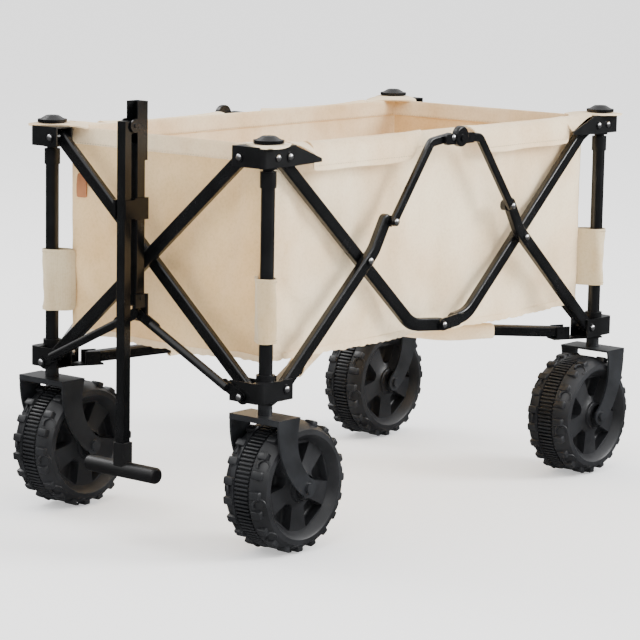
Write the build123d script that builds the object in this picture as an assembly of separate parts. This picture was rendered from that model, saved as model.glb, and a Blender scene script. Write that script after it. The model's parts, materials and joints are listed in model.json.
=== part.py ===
"""Folding beach cart: steel bundle frame on four fat beach wheels with a canvas bag. Millimetres, +Z up.

The front, where the pull handle stands, is at -X. The near long side is at -Y.
"""

import os
from math import atan2, cos, degrees, hypot, pi, radians, sin

from build123d import *

# wheels
WHEEL_R = 93.0
WHEEL_W = 78.0
TRAIL_F = 42.0
TRAIL_R = 35.0
FORK_Z = 2 * WHEEL_R + 5.0
FORK_T = 3.0
FORK_Y = WHEEL_W / 2 + 2.5
WINDOWS = 5
TREAD_FLATS = 20  # the tread stands on flat-topped blocks
# frame
POST_SPAN_X = 780.0
POST_SPAN_Y = 408.0
HX = POST_SPAN_X / 2
HY = POST_SPAN_Y / 2
ARM = 25.5  # post axis to link pivot, both ways
Z_LOW = 2 * WHEEL_R + 42.0  # lower link pivots
Z_HIGH = Z_LOW + 315.0  # upper link pivots
BAR_W = 19.0
BAR_T = 12.0
BAR_WALL = 1.4
LAYER = BAR_T + 2.0  # spacing of stacked bars
PIN_R = 4.0
FIT = 0.05  # radial clearance of a pin in its hole
HEAD_R = 6.5
Z_KNEE = Z_LOW + 45.0  # bottom knuckle of each long side
KNEE_BEND = 66.0
BEND_R = 55.0
LINK_X = 47.0  # from the crossing to the top link pivot
LINK_Z = 51.5
LINK_W = 13.0
LINK_T = 8.0
HUB_Z = Z_HIGH + 5.0  # top hub of each long side
HUB_PIN = 16.0
WING = 92.0  # reach of the tapered wing that holds up the long hem
# posts
POST_R = 9.5
POST_WALL = 1.5
INNER_R = 7.6
COLLAR_R = 11.2
COLLAR_H = 22.0
# floor
STRUT_IN = 58.0  # post axis to strut hinge, along the diagonal
STRUT_Z = Z_LOW - 5.5
STRUT_W = 18.0
STRUT_H = 16.0
STRUT_RISE = 4.0
FLOOR_R = 75.0
HUB_PLATE_R = 48.0
# bag
BAG_T = 2.5
BAG_INSET = 18.0  # bag end walls behind the post axes
BAG_SIDE = 18.0  # bag side walls inside the post axes
BAG_TOP = Z_HIGH + 13.0
BAG_FLOOR = Z_LOW + 36.0

PX = HX - ARM
PY = HY - ARM
Z_MID = (Z_LOW + Z_HIGH) / 2
CROSS_X = PX - PY  # side crossing, from the middle
GAP = LAYER - BAR_T  # free space between stacked bars
HALF_T = BAR_T / 2
IN_Y = HY - 5.0 - GAP  # inner bar layer, long sides
OUT_Y = IN_Y + LAYER
TOP_Y = OUT_Y + HALF_T - 1.0 + LINK_T / 2  # top links, outside the thinned ends of the lower links
IN_X = HX + 5.0 + GAP
OUT_X = IN_X + LAYER
END_OUT = OUT_X + HALF_T + 3.0  # outer face of the end brackets
CORNERS = {"fr": (-1, -1), "fl": (-1, 1), "rr": (1, -1), "rl": (1, 1)}

# handle
HANDLE_X = -END_OUT - 10.0
GRIP_X = -END_OUT - 34.0
HINGE_X = -END_OUT - 22.5
HINGE_Z = Z_HIGH + 31.0
PIVOT_Z = Z_LOW + 86.0
LOWER_SIDE = 18.0
UPPER_SIDE = 15.0
GRIP_Z = 98.0
GRIP_L = 132.0
V_LOW_Y = HY - 15.0
V_LOW_Z = Z_LOW - 7.0
V_X = -END_OUT - 7.5
SHIFT = ((HX - TRAIL_R + WHEEL_R) + (GRIP_X - 11.5)) / -2  # puts the origin under the middle of the box

os.makedirs("parts", exist_ok=True)


def save(name, shape):
    shape = Pos(SHIFT, 0, 0) * shape
    shape.label = name
    export_step(shape, "parts/" + name + ".step")


def side_plane(y):
    return Plane(origin=(0, y, 0), x_dir=(1, 0, 0), z_dir=(0, -1, 0))


def end_plane(x):
    return Plane(origin=(x, 0, 0), x_dir=(0, 1, 0), z_dir=(1, 0, 0))


def band(points, width, bend=0.0):
    """A flat outline that follows the points, with round ends. Bends are rounded to the given radius."""
    out = Pos(*points[0]) * Circle(width / 2) + Pos(*points[-1]) * Circle(width / 2)
    if bend and len(points) > 2:
        return out + trace(FilletPolyline(*points, radius=bend), width)
    for (x0, y0), (x1, y1) in zip(points, points[1:]):
        length = hypot(x1 - x0, y1 - y0)
        turn = degrees(atan2(y1 - y0, x1 - x0))
        out += Pos((x0 + x1) / 2, (y0 + y1) / 2) * Rot(0, 0, turn) * Rectangle(length, width)
    return out


def tube_bar(points, plane, holes, width=BAR_W, thick=BAR_T, bend=BEND_R, soft=3.4):
    """A flat oval tube along the points, with a hole through each pivot."""
    outer = extrude(plane * band(points, width, bend), thick / 2, both=True)
    rims = outer.faces().sort_by(lambda f: abs(f.normal_at().dot(plane.z_dir)))[-2:]
    outer = fillet(ShapeList(e for f in rims for e in f.edges()), soft)
    inner = extrude(plane * band(points, width - 2 * BAR_WALL, bend), thick / 2 - BAR_WALL, both=True)
    out = outer - inner
    for h in holes:
        out -= extrude(plane * (Pos(*h) * Circle(PIN_R + FIT)), thick, both=True)
    return out


def pin_y(x, z, y0, y1, radius=PIN_R):
    return Pos(x, (y0 + y1) / 2, z) * Rot(90, 0, 0) * Cylinder(radius, abs(y1 - y0))


def pin_x(y, z, x0, x1, radius=PIN_R):
    return Pos((x0 + x1) / 2, y, z) * Rot(0, 90, 0) * Cylinder(radius, abs(x1 - x0))


def block(x0, x1, y0, y1, z0, z1):
    size = (abs(x1 - x0), abs(y1 - y0), abs(z1 - z0))
    return Pos((x0 + x1) / 2, (y0 + y1) / 2, (z0 + z1) / 2) * Box(*size)


def to_corner(shape, name):
    """Carries a front right shape to another corner."""
    sx, sy = CORNERS[name]
    if sx > 0:
        shape = mirror(shape, Plane.YZ)
    if sy > 0:
        shape = mirror(shape, Plane.XZ)
    return shape


def arm_channel(z, up):
    """Two folded steel channels at a corner, one along the side and one along the end, with their rivets."""
    web = 15.0 * up
    low, high = sorted((z - 13.0 * up, z + web))
    x_end, y_end = -PX + 13, -PY + 13
    in_y, out_y = -IN_Y + HALF_T + 3.0, -OUT_Y - HALF_T - 0.7
    in_x, out_x = -IN_X + HALF_T + 3.0, -OUT_X - HALF_T - 0.7
    lid = sorted((z + web, z + web - 2.0 * up))
    out = block(-HX - 2, x_end, in_y, in_y - 2.3, low, high)
    out += block(-HX - 2, x_end, out_y, out_y - 2.3, low, high)
    out += block(-HX - 2, x_end, in_y, out_y - 2.3, *lid)
    out += block(in_x, in_x - 2.3, -HY - 2, y_end, low, high)
    out += block(out_x, out_x - 2.3, -HY - 2, y_end, low, high)
    out += block(in_x, out_x - 2.3, -HY - 2, y_end, *lid)
    out += block(out_x - 2.3, -HX + 10, out_y - 2.3, -HY + 10, *lid)
    out += block(out_x - 2.3, -HX, out_y - 2.3, -HY, low, high)
    rim = Pos(out_x + 6.7, out_y + 6.7, (low + high) / 2)
    corner = Pos(out_x + 1.7, out_y + 1.7, (low + high) / 2) * Box(10, 10, high - low + 2)
    out -= corner - rim * Cylinder(9.0, high - low + 4)
    out += pin_y(-PX, z, in_y + 1.2, out_y - 3.8)
    out += pin_y(-PX, z, in_y + 1.2, in_y, HEAD_R) + pin_y(-PX, z, out_y - 2.3, out_y - 3.8, HEAD_R)
    out += pin_x(-PY, z, in_x + 1.2, out_x - 3.8)
    out += pin_x(-PY, z, in_x + 1.2, in_x, HEAD_R) + pin_x(-PY, z, out_x - 2.3, out_x - 3.8, HEAD_R)
    return out


def upper_corner():
    out = arm_channel(Z_HIGH, 1)
    out += Pos(-HX, -HY, Z_HIGH - 3) * Cylinder(POST_R + 3.0, 26)
    out += Pos(-HX, -HY, Z_HIGH + 16) * Cylinder(6.0, 8)
    wing = Polygon(
        (-PX + 9, Z_HIGH - 13),
        (WING - HX, Z_HIGH - 11),
        (WING - HX, Z_HIGH - 6),
        (-PX + 9, Z_HIGH + 15),
        align=None,
    )
    face = -OUT_Y - HALF_T - 1.85
    out += extrude(side_plane(face) * wing, 1.15, both=True)
    out += pin_y(1 - HX, Z_HIGH, face - 1, face - 2.5, 4.5)
    low = Z_LOW + 26
    tube = Pos(-HX, -HY, (low + Z_HIGH) / 2) * Cylinder(INNER_R, Z_HIGH - low)
    bore = Pos(-HX, -HY, (low + Z_HIGH - 40) / 2) * Cylinder(INNER_R - 1.2, Z_HIGH - 40 - low)
    return out + tube - bore


def lower_corner():
    out = arm_channel(Z_LOW, -1)
    top = Z_HIGH - 19
    out += Pos(-HX, -HY, (Z_LOW - 15 + top) / 2) * Cylinder(POST_R, top - Z_LOW + 15)
    out += Pos(-HX, -HY, Z_LOW + 1) * Cylinder(POST_R + 3.5, 40)
    out += Pos(-HX, -HY, top - COLLAR_H / 2) * Cylinder(COLLAR_R, COLLAR_H)
    bore_low = Z_LOW + 8
    out -= Pos(-HX, -HY, (bore_low + top) / 2 + 1) * Cylinder(INNER_R + FIT, top - bore_low + 2)
    turn = degrees(atan2(HY, HX))
    ears = Pos(STRUT_IN - 26, 0, -9.7) * Box(84, STRUT_W + 7, 2.6)
    for s in (-1, 1):
        ears += Pos(STRUT_IN, s * (STRUT_W / 2 + 1.9), -0.9) * Box(22, 2.8, 20.2)
    ears += Pos(STRUT_IN, 0, 0) * Rot(90, 0, 0) * Cylinder(PIN_R, STRUT_W + 8)
    out += Pos(-HX, -HY, STRUT_Z - 1.7) * Rot(0, 0, turn) * (Pos(0, 0, -1) * ears)
    out += pin_x(-V_LOW_Y, V_LOW_Z, -END_OUT, -END_OUT - 8.0, PIN_R)
    out += pin_x(-V_LOW_Y, V_LOW_Z, -END_OUT + 2.0, -END_OUT - 0.3, 11.0)
    out += pin_x(-V_LOW_Y, V_LOW_Z, -END_OUT - 6.2, -END_OUT - 8.0, HEAD_R)
    return out


def fork(trail):
    """Fork under a corner: top plate with a rolled edge and two curved arms down to the axle."""
    ax = -HX + trail
    z = FORK_Z
    out = block(-HX - 23, -HX + 22, -HY - FORK_Y - FORK_T, -HY + FORK_Y + FORK_T, z, z + FORK_T)
    out += block(-HX - 23, -HX - 20, -HY - FORK_Y - FORK_T, -HY + FORK_Y + FORK_T, z - 5, z + FORK_T)
    s = 1 if trail > 0 else -1
    front = [(-22 * s, z + 3), (-18 * s, z - 40), (trail - 14.5 * s, WHEEL_R - 7)]
    rear = [(trail + 12.5 * s, WHEEL_R + 6), (20 * s, z - 46), (22 * s, z + 3)]
    pts = [(-HX + x, y) for x, y in front + rear]
    with BuildSketch() as sk:
        with BuildLine():
            Spline(*pts[:3])
            Line(pts[2], pts[3])
            Spline(*pts[3:])
            Line(pts[5], pts[0])
        make_face()
    arm = sk.sketch + Pos(ax, WHEEL_R) * Circle(14)
    for side in (-1, 1):
        y = -HY + side * (FORK_Y + FORK_T / 2)
        out += extrude(side_plane(y) * arm, FORK_T / 2, both=True)
        out += pin_y(ax, WHEEL_R, y, y + side * 6.0, 7.5)
    out += pin_y(ax, WHEEL_R, -HY - FORK_Y - 1, -HY + FORK_Y + 1, 5.0)
    return out + Pos(-HX, -HY, z + 10.0) * Cylinder(10.0, 15.0)


def wheel(trail):
    """Moulded beach wheel: flat-topped tread blocks, dished faces with five windows, and a bored hub."""
    half = WHEEL_W / 2
    r = WHEEL_R
    crown = r / cos(pi / TREAD_FLATS) + 0.2
    prof = [(5.05, -half), (20, -half), (20, -half + 9), (r - 26, -half + 9), (r - 20, -half)]
    prof += [(r - 9, -half), (r - 4, -half + 9), (crown, -half + 26)]
    prof += [(crown, half - 26), (r - 4, half - 9), (r - 9, half), (r - 20, half), (r - 26, half - 9)]
    prof += [(20, half - 9), (20, half), (5.05, half)]
    body = revolve(Plane.XZ * Polygon(*prof, align=None), Axis.Z)
    flats = Rot(0, 0, 180 / TREAD_FLATS) * RegularPolygon(r, TREAD_FLATS, major_radius=False)
    body &= extrude(flats, half + 5, both=True)
    cut = [(29, -7), (r - 30, -21), (r - 28, 0), (r - 30, 21), (29, 7)]
    for k in range(WINDOWS):
        win = extrude(Polygon(*cut, align=None), half - 12)
        for level in (12, half * -1):
            body -= Rot(0, 0, 90 + 360 * k / WINDOWS) * Pos(0, 0, level) * win
    return Pos(-HX + trail, -HY, r) * Rot(90, 0, 0) * body


def long_side_links():
    """Front half of the near long side: upper link A, lower link C and top link D, plus the rear A with its tongue."""
    up, low, cross = (-PX, Z_HIGH), (-PX, Z_LOW), (-CROSS_X, Z_MID)
    slope = (Z_MID - Z_LOW) / PY
    reach = hypot(PY, Z_MID - Z_LOW)
    bend = (-KNEE_BEND, Z_MID - slope * (CROSS_X - KNEE_BEND))
    knee = (0.0, Z_KNEE)
    a = tube_bar([up, bend, knee], side_plane(-IN_Y), [up, cross, knee])
    a += bush(up, side_plane(-IN_Y - HALF_T + 0.9), 6.0, LAYER - 1)
    plain = a + pin_y(0, Z_KNEE, -IN_Y + HALF_T + 1.2, -IN_Y - HALF_T - 6.5)
    plain += pin_y(0, Z_KNEE, -IN_Y + HALF_T - 0.5, -IN_Y + HALF_T + 1.2, HEAD_R)
    plain += pin_y(0, Z_KNEE, -IN_Y - HALF_T - 4.2, -IN_Y - HALF_T - 6.0, HEAD_R)
    reach_x, reach_z = knee[0] - bend[0], knee[1] - bend[1]
    far = hypot(reach_x, reach_z)
    stop = (knee[0] - reach_x / far * 36, knee[1] - reach_z / far * 36)
    tongued = tube_bar([up, bend, stop], side_plane(-IN_Y), [up, cross])
    tongued += bush(up, side_plane(-IN_Y - HALF_T + 0.9), 6.0, LAYER - 1)
    blade = extrude(side_plane(-IN_Y - HALF_T - 2.1) * band([stop, knee], BAR_W - 1), 1.5, both=True)
    foot = (stop[0] - reach_x / far * 14, stop[1] - reach_z / far * 14)
    blade += extrude(side_plane(-IN_Y - HALF_T - 1.3) * band([stop, foot], BAR_W - 6), 2.3, both=True)
    tongued += blade - pin_y(0, Z_KNEE, -IN_Y - 20, -IN_Y + 20, PIN_R + FIT)
    top = (LINK_X - CROSS_X, Z_MID + LINK_Z)
    dx, dz = PY / reach, (Z_MID - Z_LOW) / reach
    bend_c = (cross[0] + dx * 18, cross[1] + dz * 18)
    eye = (top[0] - 9.0, top[1] + 1.5)
    c = tube_bar([low, bend_c, eye], side_plane(-OUT_Y), [low])
    c += extrude(side_plane(-OUT_Y) * band([eye, top], 16.0), HALF_T - 1.5, both=True)
    c -= pin_y(*top, -TOP_Y + LINK_T / 2 + 0.5, -TOP_Y - LINK_T, LINK_W / 2 + 0.8)
    c += bush(low, side_plane(-OUT_Y + HALF_T - 0.9), 6.0, 1 - LAYER)
    c += pin_y(*cross, -OUT_Y - HALF_T - 2.0, -IN_Y + HALF_T + 1.7)
    c += pin_y(*cross, -OUT_Y - HALF_T, -OUT_Y - HALF_T - 1.6, HEAD_R)
    c += pin_y(*cross, -IN_Y + HALF_T + 0.2, -IN_Y + HALF_T + 1.7, HEAD_R)
    c += pin_y(*top, -OUT_Y, -TOP_Y - LINK_T / 2 - 2.0)
    c += pin_y(*top, -TOP_Y - LINK_T / 2 - 0.4, -TOP_Y - LINK_T / 2 - 2.0, HEAD_R - 0.5)
    tip = (-HUB_PIN, HUB_Z)
    d = tube_bar([top, (-58.0, HUB_Z - 5), tip], side_plane(-TOP_Y), [top], LINK_W, LINK_T, 14.0, 2.2)
    return {"a": plain, "a_tongue": tongued, "c": c, "d": d}


def bush(at, plane, radius, length):
    ring = Circle(radius) - Circle(PIN_R + FIT)
    return extrude(plane * (Pos(*at) * ring), length)


def end_links():
    """The two crossed links of the front end, and the same pair without its pin side swapped."""
    up, low, cross = (PY, Z_HIGH), (-PY, Z_LOW), (0.0, Z_MID)
    one = tube_bar([low, up], end_plane(-IN_X), [low, up])
    two = tube_bar([(-PY, Z_HIGH), (PY, Z_LOW)], end_plane(-OUT_X), [(-PY, Z_HIGH), (PY, Z_LOW), cross])
    for p in (low, up):
        one += bush(p, end_plane(-IN_X - HALF_T + 0.9), 6.0, -(LAYER - 1))
    for p in ((-PY, Z_HIGH), (PY, Z_LOW)):
        two += bush(p, end_plane(-OUT_X + HALF_T - 0.9), 6.0, LAYER - 1)
    one += pin_x(*cross, -OUT_X - HALF_T - 2.0, -IN_X + HALF_T + 2.0)
    one += pin_x(*cross, -OUT_X - HALF_T - 0.3, -OUT_X - HALF_T - 2.0, HEAD_R)
    one += pin_x(*cross, -IN_X + HALF_T, -IN_X + HALF_T + 2.0, HEAD_R)
    return one, two


def top_hub():
    """Bracket and domed knuckle that join the two top links of one long side."""
    y = -TOP_Y - LINK_T / 2 - 0.5
    bar = fillet(block(-34, 34, y, y - 5.0, HUB_Z - 10, HUB_Z + 5).edges().filter_by(Axis.Y), 4)
    dome = fillet(pin_y(0, HUB_Z + 1, y, y - 9.0, 15.0).faces().sort_by(Axis.Y)[0].edges(), 3)
    out = bar + dome + pin_y(0, HUB_Z - 1, y - 8, y - 11.0, 5.0)
    return out + pin_y(-HUB_PIN, HUB_Z, y - 2, y + LINK_T, PIN_R - 0.5)


def strut():
    """Floor strut from its corner hinge up to the middle hub."""
    length = (hypot(HX, HY) - STRUT_IN - FLOOR_R) / cos(radians(STRUT_RISE))
    body = Pos(length / 2, 0, 0) * Box(length, STRUT_W, STRUT_H)
    body = fillet(body.edges().filter_by(Axis.X), 3)
    body += Rot(90, 0, 0) * Cylinder(STRUT_H / 2, STRUT_W)
    body -= Pos(length / 2 + 4, 0, 0) * Box(length - 24, STRUT_W - 3, STRUT_H - 3)
    body -= Rot(90, 0, 0) * Cylinder(PIN_R + FIT, STRUT_W + 4)
    body += Pos(length, 0, 0) * Rot(90, 0, 0) * Cylinder(STRUT_H / 2, STRUT_W)
    turn = degrees(atan2(HY, HX))
    body = Pos(STRUT_IN, 0, 0) * Rot(0, -STRUT_RISE, 0) * body
    return Pos(-HX, -HY, STRUT_Z - 2.7) * Rot(0, 0, turn) * body


def floor_hub():
    """Low round hub under the middle of the floor, small enough to pass between the rising struts."""
    length = (hypot(HX, HY) - STRUT_IN - FLOOR_R) / cos(radians(STRUT_RISE))
    z = STRUT_Z - 2.7 + length * sin(radians(STRUT_RISE))
    out = Pos(0, 0, z - 10.4) * Cylinder(HUB_PLATE_R, 4) + Pos(0, 0, z - 7) * Cylinder(16, 7)
    out = fillet(out.edges().filter_by(GeomType.CIRCLE).sort_by(SortBy.RADIUS)[-2:], 1.2)
    return out + Pos(0, 0, z - 17) * Cylinder(24, 11)


def v_strut(side):
    """Rod from a lower corner up to the handle bracket, with flattened ends."""
    x_low, x_top = -END_OUT - 3.4, V_X - 2.2 * side
    foot, head = (side * V_LOW_Y, V_LOW_Z), (0.0, PIVOT_Z)
    run = hypot(head[0] - foot[0], head[1] - foot[1])
    dy, dz = (head[0] - foot[0]) / run, (head[1] - foot[1]) / run
    a = (foot[0] + dy * 24, foot[1] + dz * 24)
    b = (head[0] - dy * 30, head[1] - dz * 30)
    length = hypot(b[0] - a[0], b[1] - a[1])
    turn = degrees(atan2(b[1] - a[1], b[0] - a[0]))
    mid = Pos(V_X, (a[0] + b[0]) / 2, (a[1] + b[1]) / 2)
    out = mid * Rot(turn, 0, 0) * Rot(90, 0, 0) * Cylinder(6.0, length)
    out -= mid * Rot(turn, 0, 0) * Rot(90, 0, 0) * Cylinder(4.8, length - 20)
    out += extrude(end_plane(x_low) * band([foot, (a[0] + dy * 8, a[1] + dz * 8)], 15), 1.6, both=True)
    out += extrude(end_plane(x_top) * band([head, (b[0] - dy * 8, b[1] - dz * 8)], 15), 1.6, both=True)
    out -= pin_x(*foot, x_low - 16, x_low + 16, PIN_R + FIT)
    if side < 0:
        return out - pin_x(*head, x_top - 16, x_top + 16, PIN_R + FIT)
    return out + pin_x(*head, x_top - 1.4, x_top - 3.2, HEAD_R)


def handle_bracket():
    """Clevis that carries the handle on top of the V rods. Its pin ends short of the left rod."""
    z1 = PIVOT_Z + 28
    out = block(V_X + 5.2, V_X + 8.0, -14.0, 14.0, PIVOT_Z - 12, PIVOT_Z + 9)
    for s in (-1, 1):
        out += block(V_X + 5.2, V_X + 8.0, s * 9.4, s * 14.0, PIVOT_Z - 12, z1)
        out += block(V_X + 8.0, V_X - 15.0, s * 9.4, s * 12.0, PIVOT_Z + 9.0, z1)
    out += pin_x(0, PIVOT_Z, V_X + 7, V_X - 0.2)
    return out + pin_y(HANDLE_X, PIVOT_Z + 22, -13.2, 13.2, PIN_R)


def handle_lower():
    """Square tube with the folded hinge channel at its top."""
    z0, z1 = PIVOT_Z + 13, HINGE_Z - 24
    h = LOWER_SIDE / 2
    out = block(HANDLE_X - h, HANDLE_X + h, -h, h, z0, z1)
    out = fillet(out.edges().filter_by(Axis.Z), 2.5)
    out -= block(HANDLE_X - h + 1.5, HANDLE_X + h - 1.5, -h + 1.5, h - 1.5, z0 - 1, z1 + 1)
    out -= pin_y(HANDLE_X, PIVOT_Z + 22, -20, 20, PIN_R + FIT)
    c0, c1 = HINGE_Z - 48, HINGE_Z + 33
    out += block(HANDLE_X + h - 0.2, HANDLE_X + h + 1.8, -h - 1.6, h + 1.6, c0, c1)
    for s in (-1, 1):
        cheek = block(HANDLE_X - h, HANDLE_X + h + 1.8, s * (h - 0.2), s * (h + 1.6), c0, c1)
        ear = pin_y(HINGE_X, HINGE_Z, s * (h - 0.2), s * (h + 1.6), 9.5)
        out += cheek + ear
    out += pin_y(HINGE_X, HINGE_Z, -h - 3.0, h + 3.0, PIN_R - 1)
    return out


def handle_upper():
    """Square tube that hangs in front of the lower one and swings up over it."""
    h = UPPER_SIDE / 2
    z0, z1 = GRIP_Z + 28, HINGE_Z + 6.5
    out = block(GRIP_X - h, GRIP_X + h, -h, h, z0, z1)
    out = fillet(out.edges().filter_by(Axis.Z), 2.0)
    out -= block(GRIP_X - h + 1.3, GRIP_X + h - 1.3, -h + 1.3, h - 1.3, z0 - 1, z1 - 20)
    out += block(GRIP_X + h - 2, HINGE_X, -h, h, HINGE_Z - 10, z1 - 0.5)
    out += pin_y(HINGE_X, HINGE_Z, -h, h, 6.5)
    return out - pin_y(HINGE_X, HINGE_Z, -20, 20, PIN_R - 1 + FIT)


def grip():
    out = Pos(GRIP_X, 0, GRIP_Z) * Rot(90, 0, 0) * Cylinder(11.5, GRIP_L)
    out = fillet(out.edges(), 4)
    h = UPPER_SIDE / 2 + 2.6
    sock = block(GRIP_X - h, GRIP_X + h, -h, h, GRIP_Z, GRIP_Z + 38)
    sock = fillet(sock.edges().filter_by(Axis.Z), 3)
    out += sock
    h = UPPER_SIDE / 2
    return out - block(GRIP_X - h, GRIP_X + h, -h, h, GRIP_Z + 28, GRIP_Z + 60)


def clip():
    """Moulded clip fixed to the lower tube, with two jaws that hold the upper tube."""
    z0, z1 = Z_HIGH - 98.0, Z_HIGH - 68.0
    h = LOWER_SIDE / 2
    out = block(HANDLE_X - h - 5.5, HANDLE_X + h + 3, -h - 3, h + 3, z0, z1)
    out -= block(HANDLE_X - h, HANDLE_X + h, -h, h, z0 - 1, z1 + 1)
    g = UPPER_SIDE / 2 + 0.4
    for s in (-1, 1):
        out += block(HANDLE_X - h - 5, GRIP_X - 9, s * g, s * (g + 4.1), z0 + 2, z1 - 2)
    return out


def dome_cap():
    """Black moulded cap on top of a corner post."""
    base = Pos(-HX, -HY, Z_HIGH + 21) * Cylinder(21, 4)
    dome = Pos(-HX, -HY, Z_HIGH + 25.5) * Cone(19, 9, 6)
    dome = fillet(dome.edges().sort_by(Axis.Z)[-1:], 3)
    return base + dome - Pos(-HX, -HY, Z_HIGH + 19) * Cylinder(6.4, 4.0)


def bag_panel(kind):
    y = HY - BAG_SIDE
    x = HX - BAG_INSET
    gap = 1.2
    if kind in ("right", "left"):
        s = -1 if kind == "right" else 1
        out = block(-x + BAG_T + gap, x - BAG_T - gap, s * y, s * (y - BAG_T), BAG_FLOOR + BAG_T + gap, BAG_TOP)
    elif kind in ("front", "rear"):
        s = -1 if kind == "front" else 1
        out = block(s * x, s * (x - BAG_T), -y, y, BAG_FLOOR + BAG_T + gap, BAG_TOP)
    else:
        out = block(-x, x, -y, y, BAG_FLOOR, BAG_FLOOR + BAG_T)
    return out


def mirrored(shape):
    return mirror(shape, Plane.XZ)


def rear(shape):
    return mirror(shape, Plane.YZ)


def main():
    top, low = upper_corner(), lower_corner()
    cap = dome_cap()
    for name in CORNERS:
        save("corner_top_" + name, to_corner(top, name))
        save("corner_low_" + name, to_corner(low, name))
        save("cap_" + name, to_corner(cap, name))
    forks = {"f": fork(TRAIL_F), "r": fork(TRAIL_R)}
    wheels = {"f": wheel(TRAIL_F), "r": wheel(TRAIL_R)}
    for name in CORNERS:
        save("fork_" + name, to_corner(forks[name[0]], name))
        save("wheel_" + name, to_corner(wheels[name[0]], name))
    links = long_side_links()
    save("link_a_fr", links["a"])
    save("link_a_fl", mirrored(links["a"]))
    save("link_a_rr", rear(links["a_tongue"]))
    save("link_a_rl", mirrored(rear(links["a_tongue"])))
    for name in CORNERS:
        save("link_c_" + name, to_corner(links["c"], name))
    tip_hole = pin_y(-HUB_PIN, HUB_Z, -TOP_Y - 20, -TOP_Y + 20, PIN_R - 0.5 + FIT)
    bored = links["d"] - tip_hole
    save("link_d_fr", bored)
    save("link_d_fl", mirrored(bored))
    save("link_d_rr", rear(links["d"]))
    save("link_d_rl", mirrored(rear(links["d"])))
    save("hub_right", top_hub())
    save("hub_left", mirrored(top_hub()))
    one, two = end_links()
    save("cross_f1", one)
    save("cross_f2", two)
    save("cross_r1", rear(one))
    save("cross_r2", rear(two))
    for name in CORNERS:
        save("strut_" + name, to_corner(strut(), name))
    save("floor_hub", floor_hub())
    save("v_rod_right", v_strut(-1))
    save("v_rod_left", v_strut(1))
    save("handle_bracket", handle_bracket())
    save("handle_lower", handle_lower())
    save("handle_upper", handle_upper())
    save("handle_grip", grip())
    save("handle_clip", clip())
    for kind in ("right", "left", "front", "rear", "floor"):
        save("bag_" + kind, bag_panel(kind))


main()
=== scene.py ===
"""Folding beach cart: canvas bag, moulded wheels, rivets and finishes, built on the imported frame."""

import json
import math

import bmesh
import bpy
from mathutils import Matrix, Vector
from mathutils import noise as perlin

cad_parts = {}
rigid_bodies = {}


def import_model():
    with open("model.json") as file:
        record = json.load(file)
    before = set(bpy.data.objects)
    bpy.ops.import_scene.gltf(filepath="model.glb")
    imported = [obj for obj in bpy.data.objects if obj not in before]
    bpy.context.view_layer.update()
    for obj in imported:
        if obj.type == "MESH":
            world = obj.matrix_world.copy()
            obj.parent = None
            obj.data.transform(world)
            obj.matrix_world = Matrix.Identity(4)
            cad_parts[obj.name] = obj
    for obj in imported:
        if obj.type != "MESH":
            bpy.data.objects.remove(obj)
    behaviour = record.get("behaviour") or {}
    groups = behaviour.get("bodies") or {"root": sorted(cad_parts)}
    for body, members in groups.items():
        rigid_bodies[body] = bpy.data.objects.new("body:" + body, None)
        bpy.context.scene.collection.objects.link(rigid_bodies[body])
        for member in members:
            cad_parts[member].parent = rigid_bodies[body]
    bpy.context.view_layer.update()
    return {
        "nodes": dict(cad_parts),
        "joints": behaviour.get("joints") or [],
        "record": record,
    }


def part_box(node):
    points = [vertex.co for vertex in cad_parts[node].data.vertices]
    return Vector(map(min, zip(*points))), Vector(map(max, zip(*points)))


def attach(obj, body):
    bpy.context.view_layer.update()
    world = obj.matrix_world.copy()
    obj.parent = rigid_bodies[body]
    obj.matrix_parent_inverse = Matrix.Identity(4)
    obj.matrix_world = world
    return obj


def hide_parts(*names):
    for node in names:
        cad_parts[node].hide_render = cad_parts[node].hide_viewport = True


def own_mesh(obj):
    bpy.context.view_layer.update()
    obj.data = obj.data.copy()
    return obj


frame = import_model()

bl_info = {
    "name": "Folding beach cart",
    "version": (1, 0, 0),
    "blender": (4, 5, 0),
    "location": "View3D > Sidebar > Beach Cart",
    "description": "Builds the soft goods, wheels and finishes of a folding beach cart",
    "category": "Object",
}

NODES = frame["nodes"]
CORNERS = {"fr": (-1, -1), "fl": (-1, 1), "rr": (1, -1), "rl": (1, 1)}


def middle(node):
    low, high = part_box(node)
    return Vector([(a + b) / 2 for a, b in zip(low, high)])


CART_X = (middle("cap_fr").x + middle("cap_rr").x) / 2
POST = {c: middle("cap_" + c) for c in CORNERS}
BAG_HIGH = Vector(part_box("bag_right")[1])
FLOOR_LOW, FLOOR_HIGH = Vector(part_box("bag_floor")[0]), Vector(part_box("bag_floor")[1])
WHEEL = {c: middle("wheel_" + c) for c in CORNERS}
WHEEL_LOW, WHEEL_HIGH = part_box("wheel_fr")
WHEEL_R = (WHEEL_HIGH[2] - WHEEL_LOW[2]) / 2
WHEEL_W = WHEEL_HIGH[1] - WHEEL_LOW[1]


# ---------------------------------------------------------------- properties


def tint(name, description, default):
    """A colour the panel can change."""
    return bpy.props.FloatVectorProperty(
        name=name, description=description, default=default, size=3, subtype="COLOR", min=0, max=1
    )


class CartCanvas(bpy.types.PropertyGroup):
    """Sizes and colours of the canvas bag."""

    thickness: bpy.props.FloatProperty(
        name="Cloth thickness", description="Thickness of the canvas", default=0.0016, unit="LENGTH"
    )
    hem: bpy.props.FloatProperty(
        name="Hem width", description="Depth of the flap over the long sides", default=0.036, unit="LENGTH"
    )
    colour: tint("Canvas colour", "Colour of the cotton", (0.90, 0.735, 0.50))


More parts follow.
